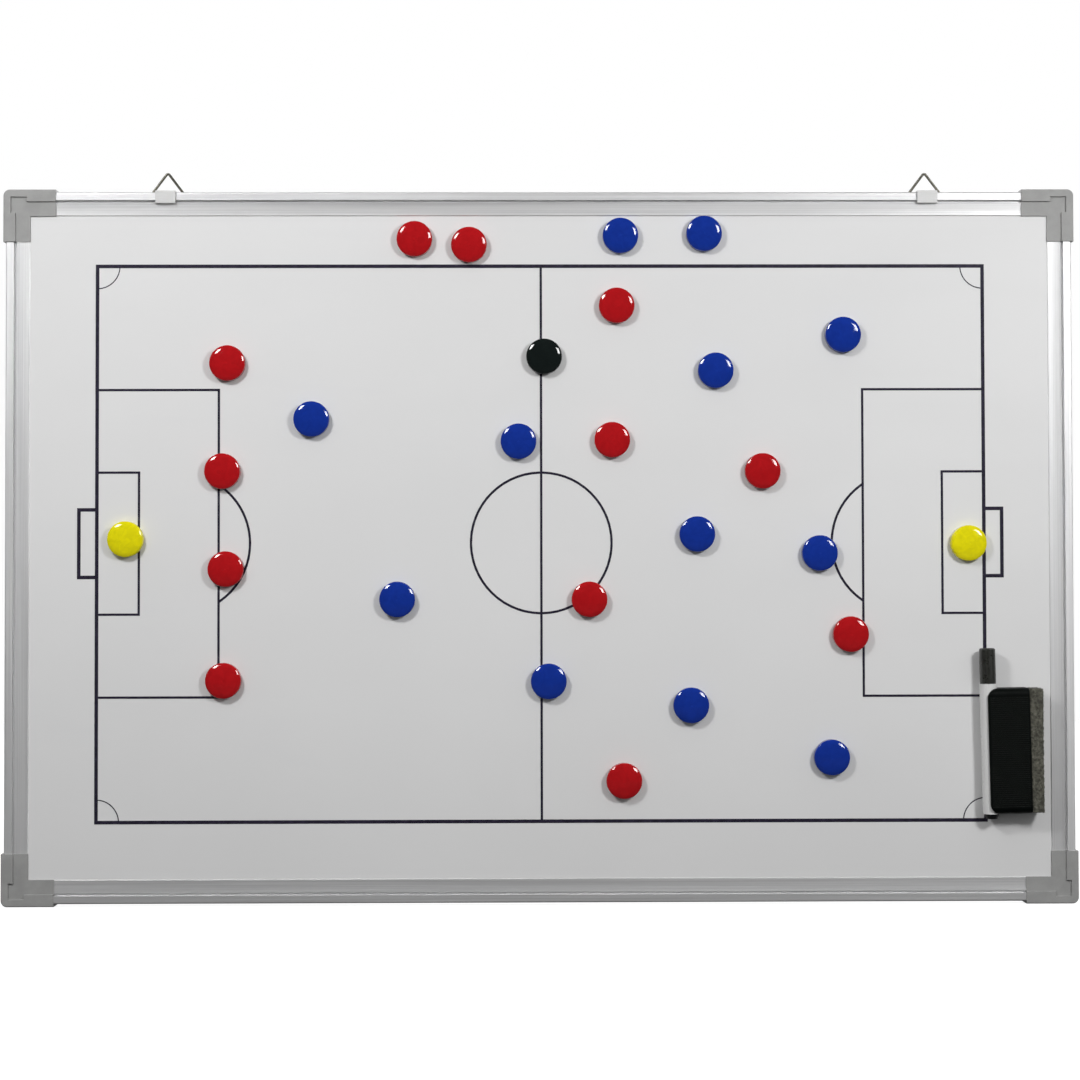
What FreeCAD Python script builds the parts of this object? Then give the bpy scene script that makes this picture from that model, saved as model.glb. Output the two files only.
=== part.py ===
import FreeCAD, Part
import math
import os
from FreeCAD import Vector

# A wall-hung magnetic tactics board, in millimetres.
# +X is to the viewer's right, +Z is up, the wall is the plane Y = 0 and the writing face looks towards -Y.
# The origin is the middle of the frame's back. A depth is measured from the wall towards the viewer.

# Frame
board_width = 900.0
board_height = 600.0
corner_proud = 2.2
rail_width = 20.0
rail_depth = 15.0
rail_wall = 1.3
rail_edge_round = 1.4
rail_shoulder_drop = 0.15
groove_from_edge = 6.8
groove_width = 2.0
groove_depth = 3.1
inner_band_drop = 1.2
inner_band_hollow = 0.22
lip_thickness = 0.8
lip_round = 0.5
back_lip_thickness = 2.3
back_lip_short = 2.0
rebate_width = 3.6
rebate_depth = 5.4
back_recess = 1.6
back_groove_depth = 1.6

# Panel, from the front
steel_thickness = 0.4
core_thickness = 9.4
back_sheet_thickness = 0.3
panel_insert = 9.3
panel_edge_gap = 0.3
panel_back_gap = 0.1

# Corner pieces
corner_leg = 44.0
corner_leg_width = 22.4
corner_radius = 5.4
corner_band_width = 10.2
corner_pad_start = 6.2
corner_pad_end = 19.6
corner_band_rise = 0.7
corner_step = 1.7
corner_edge_round = 1.2
tongue_length = 40.0
tongue_gap = 0.2

# Corner screws
screw_from_rail_end = 20.0
screw_radius = 1.4
screw_head_radius = 2.6
screw_length = 8.0
screw_gap = 0.1
screw_slot_width = 0.6
screw_slot_depth = 0.6

# Hanger clips and their wire rings
clip_width = 17.0
clip_sheet = 1.0
clip_gap = 0.2
clip_hook_reach = 2.4
clip_flap_past_groove = 1.0
clip_bend = 0.8
left_clip_from_edge = 135.8
right_clip_from_edge = 123.5
ring_wire_radius = 1.1
ring_pin_gap = 0.1
ring_side_gap = 1.8
ring_base_angle = 53.0
ring_base_bend = 2.2
ring_top_bend = 1.7
ring_from_wall = 2.7

# Printed pitch
ink_thickness = 0.1
pitch_side_margin = 55.6
pitch_end_margin = 44.9
pitch_shift_x = 0.8
pitch_shift_z = 2.6
boundary_line = 3.0
inner_line = 2.0
corner_arc_line = 0.9
penalty_depth = 101.9
penalty_height = 257.6
goal_area_depth = 35.2
goal_area_height = 119.0
goal_depth = 15.0
goal_height = 56.6
circle_radius = 59.0
penalty_spot_from_goal = 69.2
corner_arc_radius = 18.8

# Player magnets
magnet_radius = 15.0
magnet_wall_height = 4.9
magnet_rim_round = 1.6
magnet_shoulder_round = 11.0
magnet_shoulder_angle = 30.0
magnet_crown_angle = 12.0
magnet_gap = 0.3
disc_radius = 11.0
disc_height = 3.8
disc_gap = 0.1
disc_recess = 0.2
# Middles on the pitch, as shares of its half length across and of its half width up
red_shares = [(0.171, 0.855), (-0.706, 0.648), (-0.717, 0.259), (0.160, 0.370), (0.499, 0.257),
              (-0.709, -0.093), (0.108, -0.204), (0.696, -0.331), (-0.714, -0.493), (0.185, -0.855)]
blue_shares = [(0.682, 0.749), (0.394, 0.620), (-0.517, 0.446), (-0.051, 0.365), (0.351, 0.030),
               (0.627, -0.039), (-0.324, -0.203), (0.016, -0.498), (0.336, -0.585), (0.652, -0.773)]
yellow_shares = [(-0.934, 0.015), (0.963, -0.004)]
black_shares = [(0.007, 0.671)]
# Spare magnets parked under the top rail: shares of the pitch's half length across, and gaps to the rail
red_spare_shares = [-0.285, -0.162]
red_spare_gaps = [4.9, 9.8]
blue_spare_shares = [0.180, 0.369]
blue_spare_gaps = [2.2, 0.5]

# Eraser
eraser_length = 104.0
eraser_body_width = 34.4
eraser_depth = 20.0
eraser_corner = 8.0
eraser_end_round = 5.0
eraser_edge_round = 1.0
eraser_from_right_rail = 9.3
eraser_above_bottom_rail = 54.0
eraser_tilt = 1.2
felt_top_width = 12.0
felt_bottom_width = 10.1
felt_inset = 0.4
rib_pitch = 1.7
rib_groove = 0.7
rib_depth = 0.35
rib_end_margin = 6.0
rib_side_margin = 1.5
strip_length = 70.0
strip_width = 14.0
strip_thickness = 2.5
strip_gap = 0.1

# Pen, held in the channel along the eraser's back
pen_radius = 7.1
pen_channel_gap = 0.1
pen_axis_inset = 2.25
pen_top_above_eraser = 33.5
pen_cap_length = 29.6
pen_cap_radius = 6.6
pen_cap_wall = 1.1
pen_cap_gap = 0.1
pen_cap_crown = 1.0
pen_barrel_length = 108.1
pen_wall = 1.3
pen_neck_length = 12.0
pen_neck_wall = 1.2
plug_length = 4.1
plug_end_radius = 4.75
plug_start_radius = 6.2
plug_stub = 10.0
pen_fit_gap = 0.1
nose_length = 7.0
nose_tip_radius = 3.2
nib_radius = 2.1
nib_reach = 4.0
reservoir_gap = 0.3
pen_inner_gap = 0.3

# Places that follow from the sizes above
rail_reach_x = board_width / 2 - corner_proud
rail_reach_z = board_height / 2 - corner_proud
inner_x = rail_reach_x - rail_width
inner_z = rail_reach_z - rail_width
panel_thickness = steel_thickness + core_thickness + back_sheet_thickness
face_depth = back_lip_thickness + panel_back_gap + panel_thickness
panel_edge = rail_width - panel_insert
channel_edge = panel_edge - panel_edge_gap
chamber_edge = channel_edge - rail_wall
chamber_back = rebate_depth + rail_wall
chamber_front = rail_depth - groove_depth - rail_wall
tongue_middle = (chamber_back + chamber_front) / 2
ring_pin_edge = ring_wire_radius + ring_pin_gap - clip_gap
magnet_base = face_depth + magnet_gap
pitch_half_length = inner_x - pitch_side_margin
pitch_half_width = inner_z - pitch_end_margin

edge_turns = {"bottom": 0, "left": 90, "top": 180, "right": 270}
edge_reaches = {"bottom": rail_reach_z, "left": rail_reach_x, "top": rail_reach_z, "right": rail_reach_x}
corner_turns = {"bottom_left": 0, "top_left": 90, "top_right": 180, "bottom_right": 270}


def block(x_low, x_high, depth_back, depth_front, z_low, z_high):
    """A box between two depths."""
    corner = Vector(x_low, -depth_front, z_low)
    return Part.makeBox(x_high - x_low, depth_front - depth_back, z_high - z_low, corner)


def plate(points, depth_back, depth_front):
    """A straight-sided outline in X and Z, thickened between two depths."""
    corners = [Vector(x, -depth_back, z) for x, z in points]
    face = Part.Face(Part.makePolygon(corners + corners[:1]))
    return face.extrude(Vector(0, depth_back - depth_front, 0))


def section_point(inward, depth):
    """A point of a rail's section, inward from the rail's outer edge and forward from the wall."""
    return Vector(0, -depth, inward)


def section_wire(start, runs):
    """A closed wire in a rail's section, of lines to an end point and arcs by way of a middle point."""
    edges = []
    here = section_point(*start)
    for run in runs:
        there = section_point(*run[-1])
        if len(run) == 2:
            edges.append(Part.Arc(here, section_point(*run[0]), there).toShape())
        else:
            edges.append(Part.LineSegment(here, there).toShape())
        here = there
    return Part.Wire(edges)


def section_bar(points, length):
    """A straight-sided section drawn out along X, with its middle at X = 0."""
    corners = [section_point(*point) for point in points]
    face = Part.Face(Part.makePolygon(corners + corners[:1]))
    bar = face.extrude(Vector(length, 0, 0))
    bar.translate(Vector(-length / 2, 0, 0))
    return bar


def on_edge(shape, edge):
    """Carries a shape from the section's frame to an edge of the board."""
    moved = shape.copy()
    moved.translate(Vector(0, 0, -edge_reaches[edge]))
    moved.rotate(Vector(0, 0, 0), Vector(0, 1, 0), edge_turns[edge])
    return moved


def fillet_where(solid, radius, wanted):
    """Rounds the edges whose middle point passes a test."""
    edges = [edge for edge in solid.Edges if wanted(edge.CenterOfMass)]
    return solid.makeFillet(radius, edges)


def save(name, *solids):
    """Writes one node as a STEP file."""
    shape = solids[0] if len(solids) == 1 else Part.makeCompound(list(solids))
    shape.exportStep("parts/" + name + ".step")


def rail_section():
    """The extruded section: a raised outer band, a clip groove, an inner band and a channel for the panel."""
    shoulder = rail_depth - rail_shoulder_drop
    groove_end = groove_from_edge + groove_width
    lip_front = face_depth + lip_thickness
    band_middle = (groove_end + rail_width) / 2
    band_front = rail_depth - inner_band_drop
    round_side = rail_edge_round * (1 - math.sqrt(0.5))
    back_lip_end = rail_width - back_lip_short
    outside = section_wire((rebate_width, back_recess), [
        [(rebate_width, rebate_depth)],
        [(0, rebate_depth)],
        [(0, shoulder - rail_edge_round)],
        [(round_side, shoulder - round_side), (rail_edge_round, shoulder)],
        [(groove_from_edge, rail_depth)],
        [(groove_from_edge, rail_depth - groove_depth)],
        [(groove_end, rail_depth - groove_depth)],
        [(groove_end, band_front)],
        [(band_middle, (band_front + lip_front) / 2 - inner_band_hollow), (rail_width - lip_round, lip_front)],
        [(rail_width, lip_front - lip_round)],
        [(rail_width, face_depth)],
        [(channel_edge, face_depth)],
        [(channel_edge, back_lip_thickness)],
        [(back_lip_end, back_lip_thickness)],
        [(back_lip_end, 0)],
        [(groove_end + rail_wall / 2, 0)],
        [(groove_end + rail_wall / 2, back_recess)],
        [(groove_end, back_recess)],
        [(groove_end, back_recess + back_groove_depth)],
        [(groove_from_edge, back_recess + back_groove_depth)],
        [(groove_from_edge, back_recess)],
        [(rebate_width, back_recess)],
    ])
    inner_rebate = rebate_width + rail_wall
    inner_groove = groove_from_edge - rail_wall
    chamber_floor = back_recess + back_groove_depth + rail_wall
    chamber = section_wire((rail_wall, chamber_back), [
        [(inner_rebate, chamber_back)],
        [(inner_rebate, chamber_floor)],
        [(chamber_edge, chamber_floor)],
        [(chamber_edge, chamber_front)],
        [(inner_groove, chamber_front)],
        [(inner_groove, shoulder - rail_wall)],
        [(rail_wall, shoulder - rail_edge_round)],
        [(rail_wall, chamber_back)],
    ])
    return Part.Face([outside, chamber])


def screw_solid(extra):
    """A countersunk screw along the section's inward direction, grown by a clearance for its hole."""
    inward = Vector(0, 0, 1)
    place = Vector(0, -tongue_middle, 0)
    head = Part.makeCone(screw_head_radius + extra, screw_radius + extra, rail_wall, place, inward)
    return head.fuse(Part.makeCylinder(screw_radius + extra, screw_length + extra, place, inward)).removeSplitter()


def corner_screw():
    """The screw itself, with a cross slot in its head."""
    half_slot = screw_slot_width / 2
    reach = screw_radius
    across = block(-reach, reach, tongue_middle - half_slot, tongue_middle + half_slot, 0, screw_slot_depth)
    along = block(-half_slot, half_slot, tongue_middle - reach, tongue_middle + reach, 0, screw_slot_depth)
    return screw_solid(0).cut(across.fuse(along))


def rail(length):
    """One rail in the section's frame, with a screw hole near each end."""
    bar = rail_section().extrude(Vector(length, 0, 0))
    bar.translate(Vector(-length / 2, 0, 0))
    for side in (-1, 1):
        hole = screw_solid(screw_gap)
        hole.translate(Vector(side * (length / 2 - screw_from_rail_end), 0, 0))
        bar = bar.cut(hole)
    return bar


def corner_screws(length, edge):
    """The two screws of one rail."""
    screws = []
    for side in (-1, 1):
        screw = corner_screw()
        screw.translate(Vector(side * (length / 2 - screw_from_rail_end), 0, 0))
        screws.append(on_edge(screw, edge))
    return screws


def corner_tongue():
    """The tongue that a corner's level leg pushes into the hollow of a rail."""
    low = corner_proud + rail_wall + tongue_gap
    high = corner_proud + chamber_edge - tongue_gap
    back = chamber_back + tongue_gap
    front = chamber_front - tongue_gap
    tongue = block(corner_leg - rail_width, corner_leg + tongue_length, back, front, low, high)
    hole = screw_solid(screw_gap)
    hole.translate(Vector(corner_leg + screw_from_rail_end, 0, corner_proud))
    return tongue.cut(hole)


def corner_piece():
    """A corner moulding with its outer corner at X = 0, Z = 0 and its legs along +X and +Z."""
    front = rail_depth + corner_band_rise
    leg, width = corner_leg, corner_leg_width
    outline = [(0, 0), (leg, 0), (leg, width), (width, width), (width, leg), (0, leg)]
    body = plate(outline, 0, front)
    body = fillet_where(body, corner_radius, lambda p: abs(p.x) < 1e-6 and abs(p.z) < 1e-6)
    body = fillet_where(body, corner_edge_round,
                        lambda p: abs(p.y + front) < 1e-6 and (p.x < corner_radius or p.z < corner_radius))
    band = corner_band_width
    level = block(band, leg, front - corner_step, front, band, width)
    upright = block(band, width, front - corner_step, front, band, leg)
    pad = block(corner_pad_start, corner_pad_end, front - corner_step, front, corner_pad_start, corner_pad_end)
    body = body.cut(level.fuse([upright, pad]))
    panel_start = corner_proud + channel_edge
    body = body.cut(block(panel_start, leg, back_lip_thickness, face_depth, panel_start, leg))
    tongue = corner_tongue()
    swapped = tongue.mirror(Vector(0, 0, 0), Vector(1, 0, -1))
    return body.fuse([tongue, swapped]).removeSplitter()


def placed_corner(name):
    """A corner moulding turned and carried to its corner of the board."""
    side_x = 1 if name.endswith("right") else -1
    side_z = 1 if name.startswith("top") else -1
    piece = corner_piece()
    piece.rotate(Vector(0, 0, 0), Vector(0, 1, 0), corner_turns[name])
    piece.translate(Vector(side_x * board_width / 2, 0, side_z * board_height / 2))
    return piece


def panel_layer(depth_back, depth_front):
    """One full-size layer of the panel."""
    half_x = rail_reach_x - panel_edge
    half_z = rail_reach_z - panel_edge
    return block(-half_x, half_x, depth_back, depth_front, -half_z, half_z)


def ink_line(x_low, x_high, z_low, z_high):
    """A printed stroke."""
    return block(x_low, x_high, face_depth, face_depth + ink_thickness, z_low, z_high)


def ink_frame(x_low, x_high, z_low, z_high, width):
    """A printed rectangle whose strokes are centred on its sides."""
    half = width / 2
    outer = ink_line(x_low - half, x_high + half, z_low - half, z_high + half)
    return outer.cut(ink_line(x_low + half, x_high - half, z_low + half, z_high - half))


def ink_ring(x, z, radius, width):
    """A printed circle."""
    towards_viewer = Vector(0, -1, 0)
    place = Vector(x, -face_depth, z)
    disc = Part.makeCylinder(radius + width / 2, ink_thickness, place, towards_viewer)
    return disc.cut(Part.makeCylinder(radius - width / 2, ink_thickness, place, towards_viewer))


def pitch_markings():
    """All the printed lines of the pitch, as one film."""
    far_x, far_z = pitch_half_length, pitch_half_width
    half = inner_line / 2
    strokes = [ink_frame(-far_x, far_x, -far_z, far_z, boundary_line),
               ink_line(-half, half, -far_z, far_z),
               ink_ring(0, 0, circle_radius, inner_line)]
    inside = ink_line(-far_x, far_x, -far_z, far_z)
    for side in (-1, 1):
        goal_line = side * far_x
        for depth, height in ((penalty_depth, penalty_height), (goal_area_depth, goal_area_height)):
            ends = sorted((goal_line, goal_line - side * depth))
            strokes.append(ink_frame(ends[0], ends[1], -height / 2, height / 2, inner_line))
        ends = sorted((goal_line, goal_line + side * goal_depth))
        strokes.append(ink_frame(ends[0], ends[1], -goal_height / 2, goal_height / 2, boundary_line))
        arc = ink_ring(goal_line - side * penalty_spot_from_goal, 0, circle_radius, inner_line)
        ends = sorted((goal_line - side * penalty_depth, 0))
        strokes.append(arc.common(ink_line(ends[0], ends[1], -far_z, far_z)))
        for end in (-1, 1):
            strokes.append(ink_ring(goal_line, end * far_z, corner_arc_radius, corner_arc_line).common(inside))
    film = strokes[0].fuse(strokes[1:]).removeSplitter()
    film.translate(Vector(pitch_shift_x, 0, pitch_shift_z))
    return film.Solids


def hanger_clip():
    """A bent clip in the section's frame, with a flap, hooks in both grooves of the top rail and a knuckle."""
    hook_end = groove_from_edge + groove_width - clip_gap
    hook_start = hook_end - clip_sheet
    flap_end = groove_from_edge + groove_width + clip_flap_past_groove
    front_in = rail_depth + clip_gap
    front_out = front_in + clip_sheet
    top_in = -clip_gap
    top_out = top_in - clip_sheet
    hook_tip = rail_depth - clip_hook_reach
    back_out = clip_gap
    back_in = back_out + clip_sheet
    back_tip = back_recess + back_groove_depth / 2
    saddle = section_bar([(hook_start, hook_tip), (hook_end, hook_tip), (hook_end, front_in), (flap_end, front_in),
                          (flap_end, front_out), (top_out, front_out), (top_out, ring_from_wall),
                          (top_in, ring_from_wall), (top_in, front_in), (hook_start, front_in)], clip_width)
    saddle = fillet_where(saddle, clip_bend, lambda p: abs(p.y + front_out) < 1e-6 and abs(p.x) < 1e-6)
    tail = section_bar([(ring_pin_edge, back_out), (hook_end, back_out), (hook_end, back_tip),
                        (hook_start, back_tip), (hook_start, back_in), (ring_pin_edge, back_in)], clip_width)
    start = Vector(-clip_width / 2, -ring_from_wall, ring_pin_edge)
    along = Vector(1, 0, 0)
    bore = ring_wire_radius + ring_pin_gap
    knuckle = Part.makeCylinder(bore + clip_sheet, clip_width, start, along)
    clip = saddle.fuse([tail, knuckle])
    return clip.cut(Part.makeCylinder(bore, clip_width, start, along)).removeSplitter()


def hanging_ring():
    """A triangular wire ring in the section's frame, with its straight base in the clip's knuckle."""
    base_angle = math.radians(ring_base_angle)
    half_straight = clip_width / 2 + ring_side_gap
    half_base = half_straight + ring_base_bend / math.tan(base_angle / 2)
    rise = half_base * math.tan(base_angle)
    outward = Vector(math.sin(base_angle), 0, math.cos(base_angle))
    low_middle = Vector(half_straight, 0, ring_base_bend)
    low_start = Vector(half_straight, 0, 0)
    low_way = low_middle + Vector(math.cos(base_angle / 2), 0, -math.sin(base_angle / 2)) * ring_base_bend
    low_end = low_middle + outward * ring_base_bend
    top_middle = Vector(0, 0, rise - ring_top_bend / math.cos(base_angle))
    top_start = top_middle + outward * ring_top_bend
    top_way = top_middle + Vector(0, 0, ring_top_bend)

    def left(point):
        return Vector(-point.x, point.y, point.z)

    path = Part.Wire([
        Part.LineSegment(left(low_start), low_start).toShape(),
        Part.Arc(low_start, low_way, low_end).toShape(),
        Part.LineSegment(low_end, top_start).toShape(),
        Part.Arc(top_start, top_way, left(top_start)).toShape(),
        Part.LineSegment(left(top_start), left(low_end)).toShape(),
        Part.Arc(left(low_end), left(low_way), left(low_start)).toShape(),
    ])
    start = left(low_start)
    wire = Part.Wire([Part.makeCircle(ring_wire_radius, start, Vector(1, 0, 0))])
    ring = path.makePipeShell([wire], True, False)
    ring.rotate(Vector(0, 0, 0), Vector(1, 0, 0), 180)
    ring.translate(Vector(0, -ring_from_wall, ring_pin_edge))
    return ring


def on_top_rail(shape, x):
    """Carries a hanger's shape to its place along the top rail."""
    moved = on_edge(shape, "top")
    moved.translate(Vector(x, 0, 0))
    return moved


def turned(profile, start, axis):
    """A solid of revolution from points given as (radius, height) and arcs given as (middle, end)."""
    edges = []
    here = None
    for item in profile:
        middle, point = item if isinstance(item[0], tuple) else (None, item)
        there = Vector(point[0], 0, point[1])
        if middle is not None:
            edges.append(Part.Arc(here, Vector(middle[0], 0, middle[1]), there).toShape())
        elif here is not None:
            edges.append(Part.LineSegment(here, there).toShape())
        here = there
    solid = Part.Face(Part.Wire(edges)).revolve(Vector(0, 0, 0), Vector(0, 0, 1), 360)
    solid.Placement = FreeCAD.Placement(start, FreeCAD.Rotation(Vector(0, 0, 1), axis))
    return solid


def magnet_dome():
    """A magnet's dome from its wall to its middle: three arcs that run on smoothly, each by way of its tilts."""
    tilts = [math.radians(tilt) for tilt in (90, magnet_shoulder_angle, magnet_crown_angle, 0)]
    rim_reach = magnet_rim_round * (1 - math.sin(tilts[1]))
    shoulder_reach = magnet_shoulder_round * (math.sin(tilts[1]) - math.sin(tilts[2]))
    crown_round = (magnet_radius - rim_reach - shoulder_reach) / math.sin(tilts[2])
    radius, height = magnet_radius, magnet_wall_height
    arcs = []
    for bend, start, end in zip((magnet_rim_round, magnet_shoulder_round, crown_round), tilts, tilts[1:]):
        way, there = [(radius + bend * (math.sin(tilt) - math.sin(start)),
                       height + bend * (math.cos(tilt) - math.cos(start))) for tilt in ((start + end) / 2, end)]
        arcs.append((way, there))
        radius, height = there
    arcs[-1] = (arcs[-1][0], (0, height))
    return arcs


def player_magnet(x, z):
    """A domed plastic cap with a ferrite disc in its underside."""
    pocket = disc_radius + disc_gap
    pocket_top = disc_recess + disc_height + disc_gap
    profile = [(pocket, 0), (magnet_radius, 0), (magnet_radius, magnet_wall_height)] + magnet_dome()
    profile += [(0, pocket_top), (pocket, pocket_top), (pocket, 0)]
    towards_viewer = Vector(0, -1, 0)
    cap = turned(profile, Vector(x, -magnet_base, z), towards_viewer)
    disc_place = Vector(x, -magnet_base - disc_recess, z)
    return [cap, Part.makeCylinder(disc_radius, disc_height, disc_place, towards_viewer)]


def magnet_places():
    """Every player magnet's name and middle, on the board."""
    places = {}

    def number(colour, spots):
        for count, spot in enumerate(spots, 1):
            places["%s_magnet_%02d" % (colour, count)] = spot

    def across(share):
        return pitch_shift_x + share * pitch_half_length

    def on_pitch(shares):
        return [(across(x), pitch_shift_z + z * pitch_half_width) for x, z in shares]

    def under_top_rail(shares, gaps):
        return [(across(x), inner_z - gap - magnet_radius) for x, gap in zip(shares, gaps)]

    number("red", under_top_rail(red_spare_shares, red_spare_gaps) + on_pitch(red_shares))
    number("blue", under_top_rail(blue_spare_shares, blue_spare_gaps) + on_pitch(blue_shares))
    number("yellow", on_pitch(yellow_shares))
    number("black", on_pitch(black_shares))
    return places


def eraser_frame(shape):
    """Carries a shape from the eraser's own frame, with its back on the board, to the tilted eraser's place."""
    moved = shape.copy()
    moved.rotate(Vector(0, 0, 0), Vector(0, 1, 0), -eraser_tilt)
    left = inner_x - eraser_from_right_rail - felt_top_width - eraser_body_width
    middle = -inner_z + eraser_above_bottom_rail + eraser_length / 2
    moved.translate(Vector(left, -magnet_base, middle))
    return moved


def eraser_body():
    """The ribbed body with rounded ends, a channel for the pen along its left side and a pocket for its magnet."""
    half = eraser_length / 2
    bar = block(0, eraser_body_width, 0, eraser_depth, -half, half)
    body = fillet_where(bar, eraser_corner, lambda p: abs(p.x) < 1e-6 and abs(abs(p.z) - half) < 1e-6)
    body = body.common(fillet_where(bar, eraser_end_round,
                                    lambda p: abs(p.y + eraser_depth) < 1e-6 and abs(abs(p.z) - half) < 1e-6))
    body = body.common(fillet_where(bar, eraser_edge_round,
                                    lambda p: abs(p.y + eraser_depth) < 1e-6 and abs(p.x) < 1e-6))
    ribbed = eraser_length - 2 * rib_end_margin
    count = int(ribbed / rib_pitch)
    grooves = []
    for step in range(count):
        low = (step - count / 2) * rib_pitch
        grooves.append(block(rib_side_margin, eraser_body_width - rib_side_margin, eraser_depth - rib_depth,
                             eraser_depth, low, low + rib_groove))
    body = body.cut(Part.makeCompound(grooves))
    channel_start = Vector(pen_axis_inset, -eraser_depth / 2, -half)
    body = body.cut(Part.makeCylinder(pen_radius + pen_channel_gap, eraser_length, channel_start))
    return body.cut(eraser_strip(strip_gap))


def eraser_strip(extra):
    """The flat magnet in the eraser's back, grown by a clearance for its pocket."""
    middle = (pen_axis_inset + pen_radius + eraser_body_width) / 2
    half_width = strip_width / 2 + extra
    half_length = strip_length / 2 + extra
    return block(middle - half_width, middle + half_width, 0, strip_thickness + extra, -half_length, half_length)


def eraser_felt():
    """The felt pad, worn thinner at its lower end."""
    half = eraser_length / 2 - felt_inset
    near = eraser_body_width
    outline = [(near, -half), (near + felt_bottom_width, -half), (near + felt_top_width, half), (near, half)]
    return plate(outline, felt_inset, eraser_depth - felt_inset)


def pen_pieces():
    """The pen's pieces in the eraser's frame, with the capped nib upwards."""
    top = eraser_length / 2 + pen_top_above_eraser
    cap_low = top - pen_cap_length
    barrel_low = cap_low - pen_barrel_length
    neck_top = cap_low + pen_neck_length
    bore = pen_radius - pen_wall
    neck = pen_cap_radius - pen_cap_wall - pen_cap_gap
    neck_bore = neck - pen_neck_wall
    bore_top = cap_low - pen_wall
    axis_place = Vector(pen_axis_inset, -eraser_depth / 2, 0)
    up = Vector(0, 0, 1)

    barrel = turned([(bore, barrel_low), (pen_radius, barrel_low), (pen_radius, cap_low), (neck, cap_low),
                     (neck, neck_top), (neck_bore, neck_top), (neck_bore, bore_top), (bore, bore_top),
                     (bore, barrel_low)], axis_place, up)

    cap_bore = pen_cap_radius - pen_cap_wall
    crown = pen_cap_crown
    cap = turned([(cap_bore, cap_low), (pen_cap_radius, cap_low), (pen_cap_radius, top - crown),
                  (pen_cap_radius - crown, top), (0, top), (0, top - pen_cap_wall),
                  (cap_bore, top - pen_cap_wall), (cap_bore, cap_low)], axis_place, up)

    stub = bore - pen_fit_gap
    plug_top = barrel_low + plug_stub
    plug = turned([(0, barrel_low - plug_length), (plug_end_radius, barrel_low - plug_length),
                   (plug_start_radius, barrel_low), (stub, barrel_low), (stub, plug_top), (0, plug_top),
                   (0, barrel_low - plug_length)], axis_place, up)

    reservoir_low = plug_top + pen_inner_gap
    reservoir_top = bore_top - pen_inner_gap
    reservoir = Part.makeCylinder(bore - reservoir_gap, reservoir_top - reservoir_low,
                                  axis_place + Vector(0, 0, reservoir_low))

    nib_bore = nib_radius + pen_fit_gap
    nose_stub_radius = neck_bore - pen_fit_gap
    nose_top = neck_top + nose_length
    nose = turned([(nib_bore, bore_top), (nose_stub_radius, bore_top), (nose_stub_radius, neck_top),
                   (neck - pen_fit_gap, neck_top), (nose_tip_radius, nose_top), (nib_bore, nose_top),
                   (nib_bore, bore_top)], axis_place, up)

    nib_top = nose_top + nib_reach
    nib_low = reservoir_top + pen_inner_gap
    bend = math.sqrt(0.5)
    nib_way = (nib_radius * bend, nib_top - nib_radius + nib_radius * bend)
    nib = turned([(0, nib_low), (nib_radius, nib_low), (nib_radius, nib_top - nib_radius),
                  (nib_way, (0, nib_top)), (0, nib_low)], axis_place, up)

    return {"pen_barrel": barrel, "pen_cap": cap, "pen_end_plug": plug, "pen_reservoir": reservoir,
            "pen_nose": nose, "pen_nib": nib}


os.makedirs("parts", exist_ok=True)

core_front = face_depth - steel_thickness
core_back = core_front - core_thickness
save("writing_sheet", panel_layer(core_front, face_depth))
save("core_board", panel_layer(core_back, core_front))
save("back_sheet", panel_layer(core_back - back_sheet_thickness, core_back))
save("pitch_markings", *pitch_markings())

rail_lengths = {"top": board_width - 2 * corner_leg, "bottom": board_width - 2 * corner_leg,
                "left": board_height - 2 * corner_leg, "right": board_height - 2 * corner_leg}
all_screws = []
for edge, length in rail_lengths.items():
    save(edge + "_rail", on_edge(rail(length), edge))
    all_screws += corner_screws(length, edge)
save("corner_screws", *all_screws)
for name in corner_turns:
    save(name + "_corner", placed_corner(name))

clip_places = {"left": -board_width / 2 + left_clip_from_edge, "right": board_width / 2 - right_clip_from_edge}
for side, x in clip_places.items():
    save(side + "_hanger_clip", on_top_rail(hanger_clip(), x))
    save(side + "_hanging_ring", on_top_rail(hanging_ring(), x))

for name, (x, z) in magnet_places().items():
    save(name, *player_magnet(x, z))

save("eraser_body", eraser_frame(eraser_body()))
save("eraser_felt", eraser_frame(eraser_felt()))
save("eraser_magnet", eraser_frame(eraser_strip(0)))
for name, piece in pen_pieces().items():
    save(name, eraser_frame(piece))
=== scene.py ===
"""Finishes for a wall-hung tactics board, a felt pad for its eraser, and a plain white stage.

Lengths are in metres, in the board's own frame: x to the right, y to the back and z up.
"""

import math
import random

import bmesh
import bpy
from bpy.props import FloatProperty, FloatVectorProperty, IntProperty, PointerProperty
from mathutils import Matrix, Vector, noise


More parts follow.
